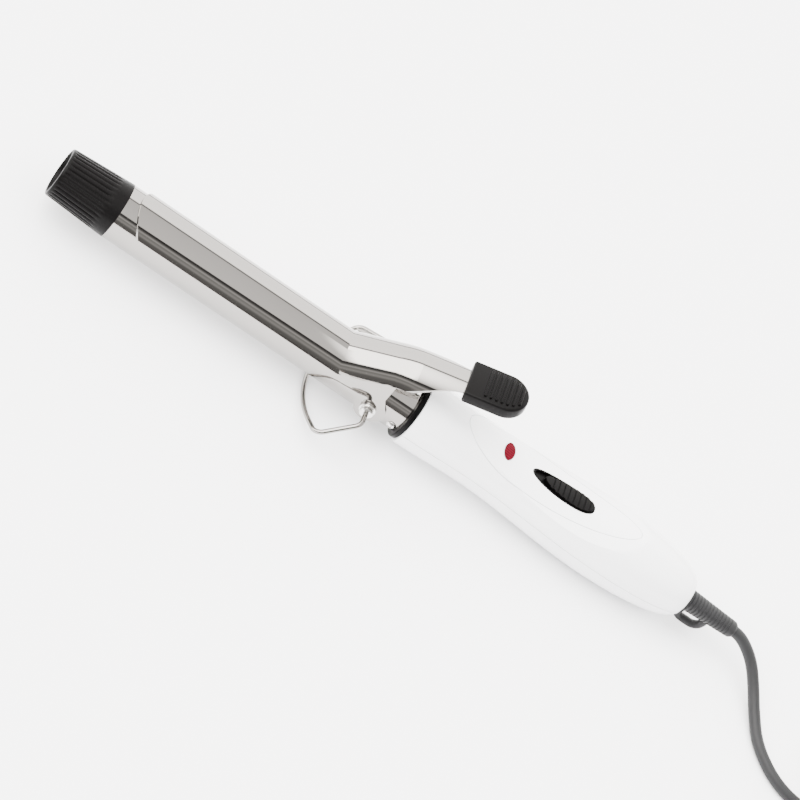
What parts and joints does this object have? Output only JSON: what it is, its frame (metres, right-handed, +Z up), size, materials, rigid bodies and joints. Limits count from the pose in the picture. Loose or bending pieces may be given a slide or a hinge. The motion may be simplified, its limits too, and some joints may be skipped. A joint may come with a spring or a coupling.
{
  "type": "curling iron",
  "caption": "Curling iron with a bright barrel, a hinged spring clip and thumb lever, a folding wire stand, a slide switch and a tied cord with a two-pin plug.",
  "frame": {"origin": "middle of the iron's length on the surface that it rests on, under the barrel's axis", "axes": "+X runs along the iron from the cool tip to the cord, +Z is up, the side that the clip's lever is on"},
  "size_m": [0.5565, 0.0879, 0.064],
  "materials": {
    "barrel_chrome": "mirror-bright plated steel tube",
    "clip_chrome": "mirror-bright plated sheet steel",
    "stand_wire": "bright plated wire",
    "tip_black": "satin black heat-resistant resin with fine flutes",
    "collar_black": "satin black heat-resistant resin",
    "rest_black": "satin black resin with grip ribs",
    "handle_white": "glossy white moulding",
    "panel_white": "glossy white moulding",
    "lens_red": "translucent dark red lens, unlit",
    "lamp_glass": "clear glass",
    "switch_black": "satin black",
    "switch_case": "matt black",
    "zinc_steel": "bright zinc plated",
    "support_resin": "matt brown heat-resistant resin",
    "heater_aluminium": "plain cast",
    "mica_sheet": "pale brown sheet",
    "electrode_brass": "plain sheet",
    "ptc_ceramic": "dark grey ceramic",
    "fuse_metal": "plain",
    "wire_red": "red insulation",
    "wire_blue": "blue insulation",
    "crimp_tin": "tin plated sleeve",
    "relief_grey": "dark grey flexible moulding",
    "cord_black": "dark grey cord sheath",
    "tie_black": "black band",
    "plug_black": "satin black moulding",
    "pin_brass": "bright plated brass"
  },
  "bodies": {
    "handle": {"barrel": "barrel_chrome", "cool_tip": "tip_black", "heat_collar": "collar_black", "barrel_support": "support_resin", "barrel_screws": "zinc_steel", "hinge_rivets": "zinc_steel", "spreader_upper": "heater_aluminium", "spreader_lower": "heater_aluminium", "mica_upper": "mica_sheet", "mica_lower": "mica_sheet", "electrode_upper": "electrode_brass", "electrode_lower": "electrode_brass", "ptc_stone_1": "ptc_ceramic", "ptc_stone_2": "ptc_ceramic", "ptc_stone_3": "ptc_ceramic", "thermal_fuse": "fuse_metal", "handle_lower": "handle_white", "handle_upper": "handle_white", "control_panel": "panel_white", "lamp_lens": "lens_red", "neon_lamp": "lamp_glass", "switch_bezel": "switch_black", "switch_body": "switch_case", "wire_neutral": "wire_blue", "wire_live_in": "wire_red", "wire_live_out": "wire_red", "crimp_neutral": "crimp_tin", "crimp_live": "crimp_tin", "cord_clamp": "support_resin", "clamp_screws": "zinc_steel", "handle_screws": "zinc_steel", "strain_relief": "relief_grey", "mains_cord": "cord_black", "cord_hank": "cord_black", "hank_tie": "tie_black", "cord_end": "cord_black", "plug_body": "plug_black", "plug_pins": "pin_brass"},
    "clip": {"clip": "clip_chrome", "thumb_rest": "rest_black", "clip_spring": "zinc_steel"},
    "stand": {"stand": "stand_wire"},
    "slider": {"switch_slider": "switch_black"}
  },
  "joints": [
    {"name": "clip_hinge", "type": "hinge", "parent": "handle", "child": "clip", "pos_m": [-0.01852, 0, 0.01976], "axis": [0, 1, 0], "range_deg": [0, 22], "stiffness_Nm_per_rad": 0.6, "springref_deg": -20.05, "deforming": ["clip_spring"]},
    {"name": "stand_hinge", "type": "hinge", "parent": "handle", "child": "stand", "pos_m": [-0.01852, 0, 0.01976], "axis": [0, 1, 0], "range_deg": [-100, 0]},
    {"name": "switch_slide", "type": "slide", "parent": "handle", "child": "slider", "axis": [-0.9998, 0, 0.0201], "range_m": [0, 0.005]}
  ]
}
